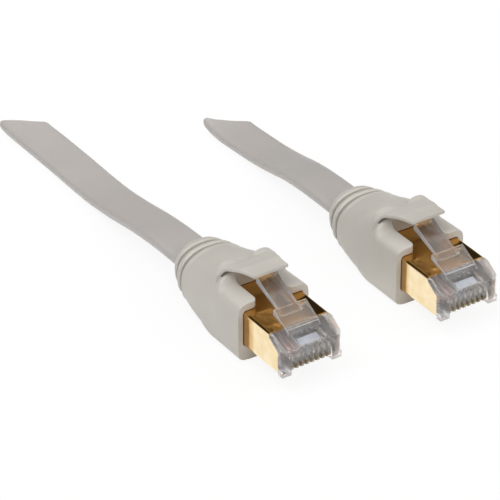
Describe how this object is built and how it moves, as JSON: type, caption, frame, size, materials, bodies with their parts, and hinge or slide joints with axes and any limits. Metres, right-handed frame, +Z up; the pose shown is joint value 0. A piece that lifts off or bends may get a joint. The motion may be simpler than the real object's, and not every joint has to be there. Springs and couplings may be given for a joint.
{
  "type": "ethernet patch cable",
  "caption": "Flat shielded patch cable with a latching modular plug and a moulded boot with a latch guard on each end, the spare length wound in a tied coil.",
  "frame": {"origin": "bottom centre of the two connectors, on the surface that the boots lie on", "axes": "+Z up, -Y the way both plugs point, +X from end a to end b"},
  "size_m": [0.08, 0.1842, 0.0183],
  "materials": {
    "clear_plastic": "clear moulded polycarbonate",
    "gold_shell": "gold plated, bright",
    "contact_gold": "gold plated",
    "white_plastic": "moulded",
    "foil": "rolled foil",
    "crimp_metal": "nickel plated, satin",
    "cable_jacket": "extruded PVC, satin",
    "boot_plastic": "moulded PVC, satin",
    "tie_strap": "woven hook and loop",
    "wire_white_orange": "insulated wire",
    "wire_orange": "insulated wire",
    "wire_white_green": "insulated wire",
    "wire_blue": "insulated wire",
    "wire_white_blue": "insulated wire",
    "wire_green": "insulated wire",
    "wire_white_brown": "insulated wire",
    "wire_brown": "insulated wire"
  },
  "bodies": {
    "root": {"housing_a": "clear_plastic", "shield_a": "gold_shell", "load_bar_a": "white_plastic", "screen_a": "foil", "ferrule_a": "crimp_metal", "jacket_end_a": "cable_jacket", "boot_a": "boot_plastic", "contact_a1": "contact_gold", "wire_a1": "wire_white_orange", "contact_a2": "contact_gold", "wire_a2": "wire_orange", "contact_a3": "contact_gold", "wire_a3": "wire_white_green", "contact_a4": "contact_gold", "wire_a4": "wire_blue", "contact_a5": "contact_gold", "wire_a5": "wire_white_blue", "contact_a6": "contact_gold", "wire_a6": "wire_green", "contact_a7": "contact_gold", "wire_a7": "wire_white_brown", "contact_a8": "contact_gold", "wire_a8": "wire_brown", "housing_b": "clear_plastic", "shield_b": "gold_shell", "load_bar_b": "white_plastic", "screen_b": "foil", "ferrule_b": "crimp_metal", "jacket_end_b": "cable_jacket", "boot_b": "boot_plastic", "contact_b1": "contact_gold", "wire_b1": "wire_white_orange", "contact_b2": "contact_gold", "wire_b2": "wire_orange", "contact_b3": "contact_gold", "wire_b3": "wire_white_green", "contact_b4": "contact_gold", "wire_b4": "wire_blue", "contact_b5": "contact_gold", "wire_b5": "wire_white_blue", "contact_b6": "contact_gold", "wire_b6": "wire_green", "contact_b7": "contact_gold", "wire_b7": "wire_white_brown", "contact_b8": "contact_gold", "wire_b8": "wire_brown", "lead_a": "cable_jacket", "lead_b": "cable_jacket", "coil": "cable_jacket", "tie": "tie_strap"},
    "latch_a": {"latch_a": "clear_plastic"},
    "latch_b": {"latch_b": "clear_plastic"},
    "tongue_a": {"tongue_a": "boot_plastic"},
    "tongue_b": {"tongue_b": "boot_plastic"}
  },
  "joints": [
    {"name": "tongue_a_press", "type": "hinge", "parent": "root", "child": "tongue_a", "pos_m": [-0.01555, 0.0009, 0.0128], "axis": [1, 0, 0], "range_deg": [0, 16], "stiffness_Nm_per_rad": 0.02},
    {"name": "latch_a_press", "type": "hinge", "parent": "root", "child": "latch_a", "pos_m": [-0.01555, -0.0141, 0.00918], "axis": [-1, 0, 0], "range_deg": [0, 10], "stiffness_Nm_per_rad": 0.02},
    {"name": "tongue_b_press", "type": "hinge", "parent": "root", "child": "tongue_b", "pos_m": [0.01555, 0.0001, 0.0128], "axis": [1, 0, 0], "range_deg": [0, 16], "stiffness_Nm_per_rad": 0.02},
    {"name": "latch_b_press", "type": "hinge", "parent": "root", "child": "latch_b", "pos_m": [0.01555, -0.0149, 0.00918], "axis": [-1, 0, 0], "range_deg": [0, 10], "stiffness_Nm_per_rad": 0.02}
  ],
  "couplings": [
    {"joint": "latch_a_press", "follows": "tongue_a_press", "ratio": 0.625},
    {"joint": "latch_b_press", "follows": "tongue_b_press", "ratio": 0.625}
  ]
}
